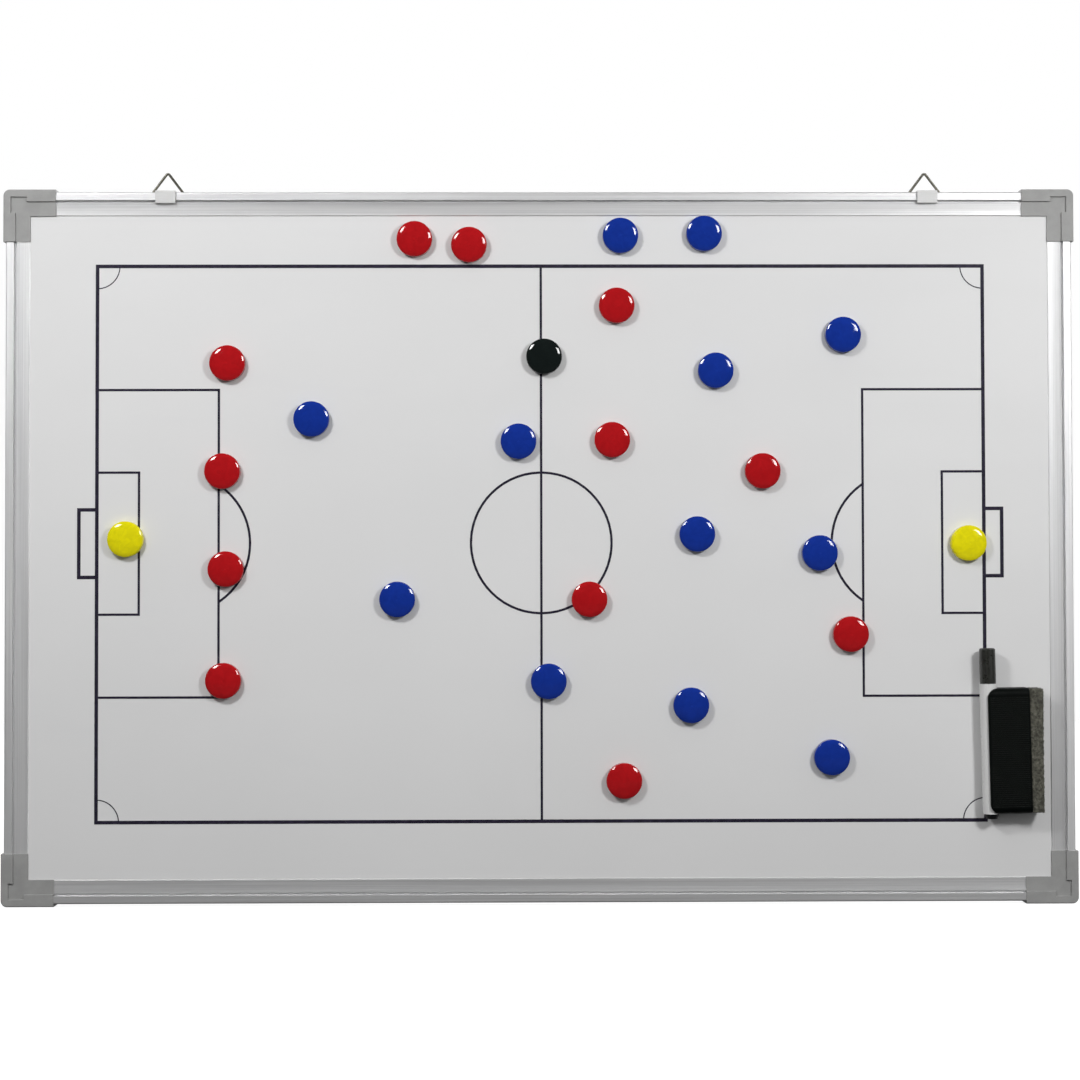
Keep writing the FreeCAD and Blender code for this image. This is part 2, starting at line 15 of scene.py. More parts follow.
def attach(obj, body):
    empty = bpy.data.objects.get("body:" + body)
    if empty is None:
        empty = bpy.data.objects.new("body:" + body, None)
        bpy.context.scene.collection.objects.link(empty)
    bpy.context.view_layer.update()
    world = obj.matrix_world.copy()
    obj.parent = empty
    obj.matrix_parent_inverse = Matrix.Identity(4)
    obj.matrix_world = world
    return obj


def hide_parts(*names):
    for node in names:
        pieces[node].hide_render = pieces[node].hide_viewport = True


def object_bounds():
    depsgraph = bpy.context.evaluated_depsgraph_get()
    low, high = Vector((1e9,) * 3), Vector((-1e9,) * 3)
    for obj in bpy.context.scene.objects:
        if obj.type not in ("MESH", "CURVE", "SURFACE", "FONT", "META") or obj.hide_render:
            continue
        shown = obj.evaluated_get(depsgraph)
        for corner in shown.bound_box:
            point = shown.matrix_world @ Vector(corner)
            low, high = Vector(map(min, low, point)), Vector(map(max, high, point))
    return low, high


bl_info = {
    "name": "Tactics board finishes",
    "version": (1, 0, 0),
    "blender": (4, 5, 0),
    "location": "View3D > Sidebar > Tactics Board",
    "description": "Finishes the panel, frame, hangers, magnets, eraser and pen of a tactics board "
                   "on a white stage",
    "category": "Object",
}

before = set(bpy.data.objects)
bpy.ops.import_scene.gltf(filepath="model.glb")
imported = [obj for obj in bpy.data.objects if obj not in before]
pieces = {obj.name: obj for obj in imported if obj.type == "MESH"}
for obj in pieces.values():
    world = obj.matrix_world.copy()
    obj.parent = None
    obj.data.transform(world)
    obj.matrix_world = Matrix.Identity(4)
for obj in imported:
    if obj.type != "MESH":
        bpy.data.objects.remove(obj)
cad_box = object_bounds()

# What like settings share.
COLOUR = {"subtype": "COLOR", "size": 3, "min": 0.0, "max": 1.0}
SHARE = {"subtype": "FACTOR", "min": 0.0, "max": 1.0}
SATIN = {"subtype": "FACTOR", "min": 0.05, "max": 0.95}
WATTS = {"unit": "POWER", "min": 0.0, "max": 500.0}
BOX_WIDTH = {"unit": "LENGTH", "min": 0.05, "max": 5.0}

WHITE = (1.0, 1.0, 1.0, 1.0)
EVEN = (1.0, 1.0, 1.0)
# Most of a pattern's values lie between these two.
MOST_LOW, MOST_HIGH = 0.35, 0.65
# How well a rounded normal agrees with the face's own, on a sharp edge and on a flat.
AT_EDGE, AT_FLAT = 0.72, 0.98
BEVEL_RAYS = 6

# Second colours of the finishes.
WIPED_HAZE = (0.66, 0.67, 0.70)
THIN_INK = (0.03, 0.028, 0.055)
TARNISH = (0.10, 0.092, 0.067)
# Pale edge wear on the eraser, made strong enough to be a painted highlight where its ribs catch
# the light.
EDGE_WEAR_AND_HIGHLIGHT = (0.040, 0.045, 0.041)
PALE_DUST = (0.03, 0.03, 0.028)
INKY_FELT = (0.062, 0.06, 0.052)
PALE_THREAD = (0.14, 0.135, 0.105)
# How far a rail's roughness swings to either side of its setting, and a magnet's above it.
SATIN_SWING = 0.04
RUB_SWING = 0.05

# The felt pad: its surface, and the fractal of its tufts (roughness, lacunarity and octaves).
WELD_DISTANCE = 1e-6
FEWEST_POINTS = 1000
SMOOTHINGS = 4
SMOOTHING_SHARE = 0.5
TUFTS_PER_METRE = 450.0
TUFT_FRACTAL = (0.7, 2.1, 4)
TUFT_MIDDLE = 0.4
# The tufts fade out as a face turns to the glued side, which looks to the left.
LOOSE_ASIDE, LOOSE_SLOPE = 1.3, 1.6

# The loose fibres: where they grow, and the least and most of what is drawn for each.
FIBRE_SEED = 11
OPEN_FACE = 0.5
FIBRE_SIDES = 3
FIBRE_RADII = (0.00005, 0.00004)
FIBRE_ROOT = 0.0001
LENGTH_SHARES = (0.5, 1.5)
LIFT_SHARES = (0.15, 0.7)
TIP_ASIDE = (0.4, 1.0)
TIP_OUT = (-0.3, 0.5)

# The floor: its drop below the board, and the distances over which it runs out to white.
FLOOR_DROP = 0.0002
FLOOR_REACH = 12.0
FLOOR_SPECKS_PER_METRE = 90.0
FLOOR_TONES = (0.97, 1.0)
WHITE_FROM, WHITE_TO = 1.0, 2.6

# The dark card: half its width, its height, and where it starts, bends up and ends.
CARD_DROP = 0.0001
CARD_HALF = 6.0
CARD_HIGH = 6.0
CARD_START, CARD_FRONT, CARD_REAR = 0.01, -2.9, 8.0

# Each lamp's setting, its place and what it is aimed at: a point below, on or above the board.
BELOW, MIDDLE, ABOVE = (0.0, 0.0, -0.64), (0.0, 0.0, -0.06), (0.0, 0.0, 0.5)
NEAR_LAMPS = (
    ("left_lamp", (-0.58, -0.84, 0.58), BELOW),
    ("right_lamp", (0.72, -0.96, 0.43), MIDDLE),
)
FAR_LAMPS = (
    ("left_shine", (-1.78, -2.0, 1.91), ABOVE),
    ("right_shine", (1.84, -2.0, 1.20), ABOVE),
)
BACK_LAMP_PLACE = (0.4, 2.6, 1.3)
BACK_LAMP_SIZE = (2.4, 1.6)

# The camera's place, its turns in degrees, one after the other, and its sensor in millimetres.
CAMERA_PLACE = (-0.0166, -1.712, -0.0354)
CAMERA_TURNS = ((1.362, "X"), (0.1065, "Y"), (-0.550, "Z"), (90.0, "X"))
SENSOR_WIDTH = 36.0


def toned(colour, share):
    """A colour made darker or lighter, as a shader takes it."""
    return tuple(min(1.0, channel * share) for channel in colour) + (1.0,)


def drawn_out(along, share):
    """A pattern's stretch: drawn out along one axis and left even along the others."""
    return tuple(share if axis == along else 1.0 for axis in "xyz")


class Wiring:
    """Short ways to add and link the nodes of one node tree."""

    def __init__(self, tree):
        self.tree = tree

    def feed(self, socket, value):
        """Sets a socket, or links another node's output to it."""
        if isinstance(value, bpy.types.NodeSocket):
            self.tree.links.new(value, socket)
        else:
            socket.default_value = value

    def node(self, kind, inputs=None, **settings):
        """A new node with its settings and its inputs."""
        made = self.tree.nodes.new(kind)
        for key, value in settings.items():
            setattr(made, key, value)
        for key, value in (inputs or {}).items():
            self.feed(made.inputs[key], value)
        return made

    def seen(self):
        """1 for rays that show a thing, also by mirror or glass, and 0 for those that light it."""
        path = self.node("ShaderNodeLightPath").outputs
        pair = self.node("ShaderNodeMath", {0: path["Is Camera Ray"], 1: path["Is Glossy Ray"]},
                         use_clamp=True).outputs[0]
        return self.node("ShaderNodeMath", {0: pair, 1: path["Is Transmission Ray"]},
                         use_clamp=True).outputs[0]


class Finish(Wiring):
    """A material with one shader, and patterns laid on it in the piece's own metres."""

    def __init__(self, name, **sockets):
        self.material = bpy.data.materials.new(name)
        self.material.use_nodes = True
        super().__init__(self.material.node_tree)
        self.shader = self.tree.nodes["Principled BSDF"].inputs
        self.place = self.node("ShaderNodeTexCoord").outputs["Object"]
        self.base = None
        self.normal = None
        for socket, value in sockets.items():
            self.shader[socket.replace("_", " ")].default_value = value

    def laid(self, stretch):
        """The piece's metres, drawn out along its axes."""
        scale = tuple(1.0 / share for share in stretch)
        made = self.node("ShaderNodeMapping", {"Vector": self.place, "Scale": scale})
        return made.outputs["Vector"]

    def grain(self, size, detail=3.0, stretch=EVEN, distortion=0.0):
        """Cloudy grain with blots of a size in metres."""
        made = self.node("ShaderNodeTexNoise", {"Vector": self.laid(stretch), "Scale": 1.0 / size,
                                                "Detail": detail, "Distortion": distortion})
        return made.outputs["Fac"]

    def cells(self, size, stretch=EVEN, output="Color"):
        """Crystals or cells of a size in metres."""
        made = self.node("ShaderNodeTexVoronoi", {"Vector": self.laid(stretch),
                                                  "Scale": 1.0 / size})
        return made.outputs[output]

    def rounded(self, radius):
        """The surface's normal, with sharp edges broken by a radius."""
        made = self.node("ShaderNodeBevel", {"Radius": radius}, samples=BEVEL_RAYS)
        return made.outputs["Normal"]

    def edges(self, radius):
        """1 on sharp edges and 0 on flats."""
        flat = self.node("ShaderNodeNewGeometry").outputs["Normal"]
        along = self.node("ShaderNodeVectorMath", {0: self.rounded(radius), 1: flat},
                          operation="DOT_PRODUCT")
        return self.levels(along.outputs["Value"], low=1.0, high=0.0, start=AT_EDGE, end=AT_FLAT)

    def levels(self, pattern, low, high, start=MOST_LOW, end=MOST_HIGH):
        """A pattern's values from start to end, turned into values from low to high."""
        made = self.node("ShaderNodeMapRange", {"Value": pattern,
                                                "From Min": start, "From Max": end,
                                                "To Min": low, "To Max": high})
        return made.outputs["Result"]

    def tone(self, pattern, colour, low, high, start=MOST_LOW, end=MOST_HIGH):
        """Colours the surface from a darker to a lighter tone of one colour along a pattern."""
        ramp = self.node("ShaderNodeValToRGB", {"Fac": pattern})
        for stop, place, share in zip(ramp.color_ramp.elements, (start, end), (low, high)):
            stop.position = place
            stop.color = toned(colour, share)
        self.base = ramp.outputs["Color"]
        self.feed(self.shader["Base Color"], self.base)

    def stain(self, pattern, colour, most, start, end, share=1.0):
        """Lays another colour over the first, from none at a pattern's start to most at its end."""
        mask = self.levels(pattern, low=0.0, high=most, start=start, end=end)
        made = self.node("ShaderNodeMix", data_type="RGBA")
        self.feed(made.inputs[0], mask)
        self.feed(made.inputs[6], self.base)
        self.feed(made.inputs[7], toned(colour, share))
        self.base = made.outputs[2]
        self.feed(self.shader["Base Color"], self.base)

    def gloss(self, pattern, low, high, start=MOST_LOW, end=MOST_HIGH):
        """Roughness that follows a pattern."""
        self.feed(self.shader["Roughness"], self.levels(pattern, low, high, start, end))

    def emboss(self, pattern, height):
        """Raises the surface by a pattern, up to a height in metres."""
        inputs = {"Height": pattern, "Distance": height}
        if self.normal is not None:
            inputs["Normal"] = self.normal
        self.normal = self.node("ShaderNodeBump", inputs).outputs["Normal"]
        self.feed(self.shader["Normal"], self.normal)

    def ease(self, radius):
        """Lets sharp edges catch the light as if they were broken by a small radius."""
        self.normal = self.rounded(radius)
        self.feed(self.shader["Normal"], self.normal)

    def put_on(self, *names):
        """Gives the finish to the named pieces."""
        for name in names:
            pieces[name].material_slots[0].material = self.material


class PanelLook(bpy.types.PropertyGroup):
    """Colours of the writing panel."""
    lacquer: FloatVectorProperty(
        name="Lacquer", description="White of the writing sheet",
        default=(0.80, 0.80, 0.80), **COLOUR)
    ink: FloatVectorProperty(
        name="Ink", description="Printed lines of the pitch",
        default=(0.017, 0.0138, 0.028), **COLOUR)
    zinc: FloatVectorProperty(
        name="Zinc", description="Galvanised sheet on the back",
        default=(0.56, 0.57, 0.58), **COLOUR)
    kraft: FloatVectorProperty(
        name="Kraft", description="Paper honeycomb of the core",
        default=(0.40, 0.27, 0.15), **COLOUR)
    peel: FloatProperty(
        name="Orange peel", description="Width of the lacquer's fine waves",
        default=0.0016, min=0.0002, max=0.01, unit="LENGTH")


class FrameLook(bpy.types.PropertyGroup):
    """Colours of the rails, corners and screws."""
    aluminium: FloatVectorProperty(
        name="Aluminium", description="Satin anodised rails",
        default=(0.88, 0.88, 0.885), **COLOUR)
    corner: FloatVectorProperty(
        name="Corner plastic", description="Moulded grey corner pieces",
        default=(0.35, 0.35, 0.345), **COLOUR)
    steel: FloatVectorProperty(
        name="Screw steel", description="Zinc-plated screws",
        default=(0.55, 0.55, 0.54), **COLOUR)
    level_satin: FloatProperty(
        name="Level satin", description="Roughness of the top and bottom rails",
        default=0.42, **SATIN)
    upright_satin: FloatProperty(
        name="Upright satin", description="Roughness of the left and right rails",
        default=0.50, **SATIN)
    level_metal: FloatProperty(
        name="Level metal", description="How far the top and bottom rails mirror like bare metal",
        default=0.66, **SHARE)
    upright_metal: FloatProperty(
        name="Upright metal", description="How far the left and right rails do",
        default=0.76, **SHARE)
    die_line: FloatProperty(
        name="Die line", description="Width of the lines that the die leaves along a rail",
        default=0.0005, min=0.00005, max=0.01, unit="LENGTH")


class HangerLook(bpy.types.PropertyGroup):
    """Colours of the hanger clips and rings."""
    clip: FloatVectorProperty(
        name="Clip", description="Bent sheet clips",
        default=(0.66, 0.66, 0.655), **COLOUR)
    nickel: FloatVectorProperty(
        name="Nickel", description="Plated wire rings",
        default=(0.16, 0.154, 0.130), **COLOUR)


class MagnetLook(bpy.types.PropertyGroup):
    """Colours and polish of the player magnets, and the colour of the eraser's magnet."""
    red: FloatVectorProperty(
        name="Red", description="One team's magnets",
        default=(0.45, 0.0085, 0.012), **COLOUR)
    blue: FloatVectorProperty(
        name="Blue", description="The other team's magnets",
        default=(0.008, 0.034, 0.30), **COLOUR)
    yellow: FloatVectorProperty(
        name="Yellow", description="The goalkeepers' magnets",
        default=(0.82, 0.74, 0.006), **COLOUR)
    black: FloatVectorProperty(
        name="Black", description="The referee's magnet",
        default=(0.008, 0.0115, 0.011), **COLOUR)
    ferrite: FloatVectorProperty(
        name="Ferrite", description="Magnet strip in the eraser's back",
        default=(0.035, 0.033, 0.032), **COLOUR)
    polish: FloatProperty(
        name="Polish", description="Roughness of the polished caps",
        default=0.06, **SHARE)


class EraserLook(bpy.types.PropertyGroup):
    """Colours of the eraser and the make of its felt pad."""
    plastic: FloatVectorProperty(
        name="Plastic", description="Ribbed black body",
        default=(0.0012, 0.0022, 0.0018), **COLOUR)
    felt: FloatVectorProperty(
        name="Felt", description="Grey pressed felt",
        default=(0.098, 0.096, 0.078), **COLOUR)
    felt_grid: FloatProperty(
        name="Felt grid", description="Spacing of the felt's modelled surface",
        default=0.0008, min=0.0004, max=0.004, unit="LENGTH")
    felt_lump: FloatProperty(
        name="Felt lump", description="Height of the felt's uneven tufts",
        default=0.00045, min=0.0, max=0.002, unit="LENGTH")
    fibres: IntProperty(
        name="Fibres", description="Number of loose fibres on the felt",
        default=2600, min=0, max=20000)
    fibre_length: FloatProperty(
        name="Fibre length", description="Length of a loose fibre",
        default=0.0016, min=0.0002, max=0.006, unit="LENGTH")


class PenLook(bpy.types.PropertyGroup):
    """Colours of the pen."""
    barrel: FloatVectorProperty(
        name="Barrel", description="White barrel",
        default=(0.74, 0.74, 0.735), **COLOUR)
    cap: FloatVectorProperty(
        name="Cap", description="Dark grey cap",
        default=(0.0115, 0.012, 0.0095), **COLOUR)
    plug: FloatVectorProperty(
        name="Plug", description="Black end plug and nose",
        default=(0.008, 0.008, 0.009), **COLOUR)
    fibre: FloatVectorProperty(
        name="Fibre", description="Ink-soaked nib and reservoir",
        default=(0.05, 0.05, 0.06), **COLOUR)


class StageLook(bpy.types.PropertyGroup):
    """The floor, the lamps and the camera."""
    floor: FloatVectorProperty(
        name="Floor", description="Pale floor",
        default=(0.46, 0.46, 0.46), **COLOUR)
    floor_glow: FloatProperty(
        name="Floor white", description="How far the floor is lifted to a white background",
        default=0.80, **SHARE)
    floor_bounce: FloatProperty(
        name="Floor bounce", description="Share of its paint with which the floor lights the board",
        default=0.15, **SHARE)
    card: FloatVectorProperty(
        name="Card", description="Dark card that the shiny faces mirror",
        default=(0.05, 0.05, 0.05), **COLOUR)
    sky: FloatProperty(
        name="Room light", description="Light from the room all round",
        default=0.35, **SHARE)
    left_lamp: FloatProperty(
        name="Left lamp", description="Power of the soft box that lights the board from the left",
        default=6.03, **WATTS)
    right_lamp: FloatProperty(
        name="Right lamp", description="Power of the soft box that lights it from the right",
        default=6.5, **WATTS)
    left_shine: FloatProperty(
        name="Left shine", description="Power of the far soft box that shows in the gloss, left",
        default=16.0, **WATTS)
    right_shine: FloatProperty(
        name="Right shine", description="Power of the far soft box that shows in the gloss, right",
        default=12.2, **WATTS)
    spread: FloatProperty(
        name="Spread", description="Angle that the grids on the far soft boxes let through",
        default=math.radians(85.0), min=0.1, max=math.pi, subtype="ANGLE")
    back_lamp: FloatProperty(
        name="Back lamp", description="Power of the wide soft box behind the board",
        default=55.0, **WATTS)
    box_size: FloatProperty(
        name="Soft box", description="Width of the near soft boxes",
        default=0.18, **BOX_WIDTH)
    shine_size: FloatProperty(
        name="Shine box", description="Width of the far soft boxes",
        default=0.80, **BOX_WIDTH)
    lens: FloatProperty(
        name="Lens", description="Focal length on a 36 mm sensor",
        default=67.54, min=10.0, max=300.0, unit="CAMERA")


class BoardLook(bpy.types.PropertyGroup):
    """All the settings of the tactics board."""
    panel: PointerProperty(name="Panel", description="Writing panel", type=PanelLook)
    rails: PointerProperty(name="Frame", description="Rails and corners", type=FrameLook)
    hangers: PointerProperty(name="Hangers", description="Clips and rings", type=HangerLook)
    magnets: PointerProperty(name="Magnets", description="Player magnets", type=MagnetLook)
    eraser: PointerProperty(name="Eraser", description="Eraser and felt", type=EraserLook)
    pen: PointerProperty(name="Pen", description="Marker pen", type=PenLook)
    stage: PointerProperty(name="Stage", description="Floor, lamps and camera", type=StageLook)


def lacquered_sheet(look):
    """White baked lacquer with a faint orange peel and hazy wipe marks in its gloss."""
    finish = Finish("white_lacquer")
    finish.tone(finish.grain(size=0.20, detail=4.0), look.lacquer, low=0.985, high=1.01)
    wipes = finish.grain(size=0.03, detail=5.0, stretch=(5.0, 1.0, 1.5), distortion=0.6)
    finish.stain(wipes, WIPED_HAZE, most=0.10, start=0.58, end=0.80)
    finish.gloss(wipes, low=0.30, high=0.42)
    finish.emboss(finish.grain(size=look.peel, detail=1.5), height=0.000006)
    return finish


def printed_ink(look):
    """Screen-printed ink, a little thin in places."""
    finish = Finish("pitch_ink", Specular_IOR_Level=0.2)
    finish.tone(finish.grain(size=0.004, detail=4.0), look.ink, low=0.8, high=1.5)
    mesh = finish.grain(size=0.0006, detail=2.0)
    finish.stain(mesh, THIN_INK, most=0.35, start=0.55, end=0.8)
    finish.gloss(mesh, low=0.38, high=0.55)
    finish.emboss(mesh, height=0.00001)
    return finish


def kraft_core(look):
    """Brown paper honeycomb."""
    finish = Finish("kraft_core", Roughness=0.9)
    paper = finish.grain(size=0.002, detail=4.0, stretch=drawn_out("x", 4.0))
    finish.tone(paper, look.kraft, low=0.8, high=1.15)
    walls = finish.cells(size=0.012, output="Distance")
    finish.stain(walls, look.kraft, most=0.5, start=0.3, end=0.6, share=0.45)
    finish.emboss(walls, height=0.0004)
    return finish


def galvanised_back(look):
    """Galvanised sheet: large soft zinc crystals, each with its own tone, and a few dull marks."""
    finish = Finish("back_zinc", Metallic=0.55)
    spangle = finish.cells(size=0.011, stretch=drawn_out("z", 1.4))
    finish.tone(spangle, look.zinc, low=0.92, high=1.05, start=0.1, end=0.9)
    dull = finish.grain(size=0.06, detail=5.0, distortion=0.8)
    finish.stain(dull, look.zinc, most=0.4, start=0.55, end=0.75, share=0.72)
    finish.gloss(spangle, low=0.36, high=0.52, start=0.1, end=0.9)
    finish.emboss(finish.grain(size=0.0008, detail=2.0), height=0.000012)
    return finish


def drawn_rail(name, look, along, satin, metal):
    """Satin anodised aluminium with die lines along the rail and edges rubbed bright."""
    finish = Finish(name, Metallic=metal)
    finish.ease(radius=0.0003)
    lines = finish.grain(size=look.die_line, stretch=drawn_out(along, 400.0))
    finish.tone(lines, look.aluminium, low=0.93, high=1.06)
    cloud = finish.grain(size=0.05, detail=4.0, stretch=drawn_out(along, 3.0))
    finish.stain(cloud, look.aluminium, most=0.35, start=0.5, end=0.8, share=0.88)
    rubbed = finish.edges(radius=0.0004)
    finish.stain(rubbed, look.aluminium, most=0.5, start=0.1, end=0.9, share=1.3)
    finish.gloss(lines, low=satin - SATIN_SWING, high=satin + SATIN_SWING)
    finish.emboss(lines, height=0.00001)
    return finish


def moulded_corner(look):
    """Grey moulded plastic with a spark-eroded texture, paler where its edges have been knocked."""
    finish = Finish("corner_grey", Specular_IOR_Level=0.35)
    finish.ease(radius=0.0004)
    finish.tone(finish.grain(size=0.012, detail=4.0), look.corner, low=0.94, high=1.06)
    speck = finish.grain(size=0.0005, detail=2.0)
    finish.stain(speck, look.corner, most=0.25, start=0.5, end=0.75, share=0.78)
    knocked = finish.edges(radius=0.0006)
    finish.stain(knocked, look.corner, most=0.30, start=0.2, end=1.0, share=1.4)
    scuffs = finish.grain(size=0.003, detail=5.0, stretch=drawn_out("x", 6.0), distortion=1.2)
    finish.stain(scuffs, look.corner, most=0.25, start=0.66, end=0.78, share=1.25)
    finish.gloss(speck, low=0.50, high=0.66)
    finish.emboss(speck, height=0.00004)
    return finish


def plated_screw(look):
    """Zinc-plated steel with turned marks."""
    finish = Finish("screw_steel", Metallic=1.0)
    finish.ease(radius=0.0001)
    marks = finish.grain(size=0.0003, stretch=drawn_out("y", 6.0))
    finish.tone(marks, look.steel, low=0.8, high=1.1)
    finish.gloss(marks, low=0.28, high=0.45)
    finish.emboss(marks, height=0.00001)
    return finish


def bent_clip(look):
    """Rolled sheet with a satin grain, rubbed bright along its bends."""
    finish = Finish("clip_sheet", Metallic=0.2)
    finish.ease(radius=0.0002)
    rolled = finish.grain(size=0.0003, stretch=drawn_out("x", 60.0))
    finish.tone(rolled, look.clip, low=0.93, high=1.05)
    rubbed = finish.edges(radius=0.0003)
    finish.stain(rubbed, look.clip, most=0.5, start=0.2, end=0.9, share=1.3)
    finish.gloss(rolled, low=0.45, high=0.58)
    finish.emboss(rolled, height=0.000008)
    return finish


def plated_ring(look):
    """Nickel-plated wire with fine draw marks and a warm tarnish in patches."""
    finish = Finish("ring_nickel", Metallic=0.6, Specular_IOR_Level=0.2)
    drawn = finish.grain(size=0.0006, stretch=(2.0, 1.0, 2.0))
    finish.tone(drawn, look.nickel, low=0.88, high=1.08)
    patches = finish.grain(size=0.004, detail=4.0)
    finish.stain(patches, TARNISH, most=0.55, start=0.5, end=0.7)
    finish.gloss(patches, low=0.30, high=0.44)
    finish.emboss(drawn, height=0.000008)
    return finish


def polished_cap(name, colour, look):
    """Polished moulded plastic with a faint flow in its colour and fine rub marks in its gloss."""
    finish = Finish(name, Specular_IOR_Level=0.45)
    flow = finish.grain(size=0.006, detail=4.0, distortion=1.0)
    finish.tone(flow, colour, low=0.93, high=1.06)
    rubs = finish.grain(size=0.0012, detail=4.0, stretch=drawn_out("x", 3.0), distortion=0.8)
    finish.gloss(rubs, low=look.polish, high=look.polish + RUB_SWING, start=0.45, end=0.75)
    finish.emboss(finish.grain(size=0.002, detail=1.0), height=0.000004)
    return finish


def ferrite_strip(look):
    """Dark pressed ferrite with a fine grain."""
    finish = Finish("ferrite", Specular_IOR_Level=0.4)
    grit = finish.grain(size=0.0007, detail=4.0)
    finish.tone(grit, look.ferrite, low=0.7, high=1.3)
    finish.gloss(grit, low=0.45, high=0.7)
    finish.emboss(grit, height=0.00003)
    return finish


def eraser_plastic(look):
    """Black moulded plastic, dull on its ribs, with pale worn edges that also act as a painted
    highlight on the ribs.
    """
    finish = Finish("eraser_black", Specular_IOR_Level=0.08)
    finish.ease(radius=0.0003)
    finish.tone(finish.grain(size=0.006, detail=4.0), look.plastic, low=0.8, high=1.3)
    # Partly edge wear and partly painted highlight: every rib edge is lightened as if it caught the
    # light.
    finish.stain(finish.edges(radius=0.0005), EDGE_WEAR_AND_HIGHLIGHT, most=0.7, start=0.1, end=0.9)
    dust = finish.grain(size=0.0009, detail=4.0)
    finish.stain(dust, PALE_DUST, most=0.25, start=0.66, end=0.8)
    finish.gloss(dust, low=0.42, high=0.6)
    finish.emboss(finish.grain(size=0.0004, detail=2.0), height=0.00002)
    return finish


def pressed_felt(look):
    """Mottled felt, dark with ink in blots and paler along its threads."""
    finish = Finish("eraser_felt", Roughness=0.95, Specular_IOR_Level=0.1,
                    Sheen_Weight=0.08, Sheen_Roughness=0.5)
    mottle = finish.grain(size=0.0022, detail=6.0, distortion=0.5)
    finish.tone(mottle, look.felt, low=0.52, high=1.52)
    blots = finish.grain(size=0.009, detail=4.0)
    finish.stain(blots, INKY_FELT, most=0.5, start=0.5, end=0.7)
    threads = finish.grain(size=0.0005, stretch=drawn_out("z", 3.0), distortion=1.5)
    finish.stain(threads, PALE_THREAD, most=0.4, start=0.55, end=0.75)
    finish.emboss(threads, height=0.0002)
    return finish


def pen_plastic(name, colour, low, high, specular):
    """Moulded pen plastic with streaks along the pen and small handling marks."""
    finish = Finish(name, Specular_IOR_Level=specular)
    finish.ease(radius=0.0002)
    streaks = finish.grain(size=0.0006, detail=4.0, stretch=drawn_out("z", 40.0))
    finish.tone(streaks, colour, low, high)
    marks = finish.grain(size=0.002, detail=5.0, distortion=0.8)
    finish.stain(marks, colour, most=0.2, start=0.6, end=0.8, share=0.75)
    finish.gloss(marks, low=0.26, high=0.42)
    finish.emboss(finish.grain(size=0.0007, detail=2.0), height=0.000008)
    return finish


def soaked_fibre(look):
    """Pressed fibre soaked with ink."""
    finish = Finish("pen_fibre", Roughness=0.85)
    hairs = finish.grain(size=0.0002, detail=4.0, stretch=drawn_out("z", 12.0))
    finish.tone(hairs, look.fibre, low=0.5, high=1.6)
    finish.emboss(hairs, height=0.00008)
    return finish


def linked(made):
    """Puts a new object in the scene."""
    bpy.context.scene.collection.objects.link(made)
    return made


def shown_mesh(name, shape, body):
    """A new piece of a finished shape, which moves with one of the board's bodies."""
    mesh = bpy.data.meshes.new(name)
    shape.to_mesh(mesh)
    shape.free()
    made = linked(bpy.data.objects.new(name, mesh))
    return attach(made, body)


def felt_pad(look):
    """A felt pad in the space of the plain one: eased, matted, and flat on its glued side."""
    shape = bmesh.new()
    shape.from_mesh(pieces["eraser_felt"].data)
    bmesh.ops.remove_doubles(shape, verts=shape.verts, dist=WELD_DISTANCE)
    pad = shown_mesh("felt_pad", shape, "eraser")
    grid = pad.modifiers.new("felt grid", "REMESH")
    grid.mode = "VOXEL"
    grid.voxel_size = look.felt_grid
    depsgraph = bpy.context.evaluated_depsgraph_get()
    pad.data = bpy.data.meshes.new_from_object(pad.evaluated_get(depsgraph))
    pad.modifiers.clear()
    pad.data.name = "felt_pad"
    if len(pad.data.vertices) < FEWEST_POINTS:
        raise RuntimeError("the felt's surface was not made")

    shape = bmesh.new()
    shape.from_mesh(pad.data)
    for _ in range(SMOOTHINGS):
        bmesh.ops.smooth_vert(shape, verts=shape.verts, factor=SMOOTHING_SHARE,
                              use_axis_x=True, use_axis_y=True, use_axis_z=True)
    shape.normal_update()
    moves = []
    for vert in shape.verts:
        loose = min(1.0, max(0.0, LOOSE_ASIDE + LOOSE_SLOPE * vert.normal.x))
        tufts = noise.fractal(vert.co * TUFTS_PER_METRE, *TUFT_FRACTAL)
        moves.append(vert.normal * (tufts - TUFT_MIDDLE) * look.felt_lump * loose)
    for vert, move in zip(shape.verts, moves):
        vert.co += move
    shape.to_mesh(pad.data)
    shape.free()
    pad.data.shade_smooth()
    return pad


def felt_fibres(pad, look):
    """Loose fibres that stand off the open faces of the felt, each a thin bent spike."""
    rng = random.Random(FIBRE_SEED)
    open_faces = [face for face in pad.data.polygons
                  if face.normal.x > -OPEN_FACE and face.normal.y < OPEN_FACE]
    turns = [math.tau * turn / FIBRE_SIDES for turn in range(FIBRE_SIDES)]
    shape = bmesh.new()
    for _ in range(look.fibres):
        face = rng.choice(open_faces)
        out = face.normal
        heading = Vector((rng.gauss(0, 1), rng.gauss(0, 1), rng.gauss(0, 1)))
        aside = heading.cross(out).normalized()
        half = look.fibre_length * rng.uniform(*LENGTH_SHARES) * 0.5
        lift = rng.uniform(*LIFT_SHARES)
        start = face.center - out * FIBRE_ROOT
        middle = start + (aside * (1.0 - lift) + out * lift) * half
        tip = middle + (aside * rng.uniform(*TIP_ASIDE) + out * rng.uniform(*TIP_OUT)) * half
        side = aside.cross(out)
        spokes = [side * math.cos(turn) + out * math.sin(turn) for turn in turns]
        root, bend = ([shape.verts.new(point + spoke * radius) for spoke in spokes]
                      for point, radius in zip((start, middle), FIBRE_RADII))
        end = shape.verts.new(tip)
        for turn in range(FIBRE_SIDES):
            after = (turn + 1) % FIBRE_SIDES
            shape.faces.new((root[turn], root[after], bend[after], bend[turn]))
            shape.faces.new((bend[turn], bend[after], end))
    return shown_mesh("felt_fibres", shape, "eraser")


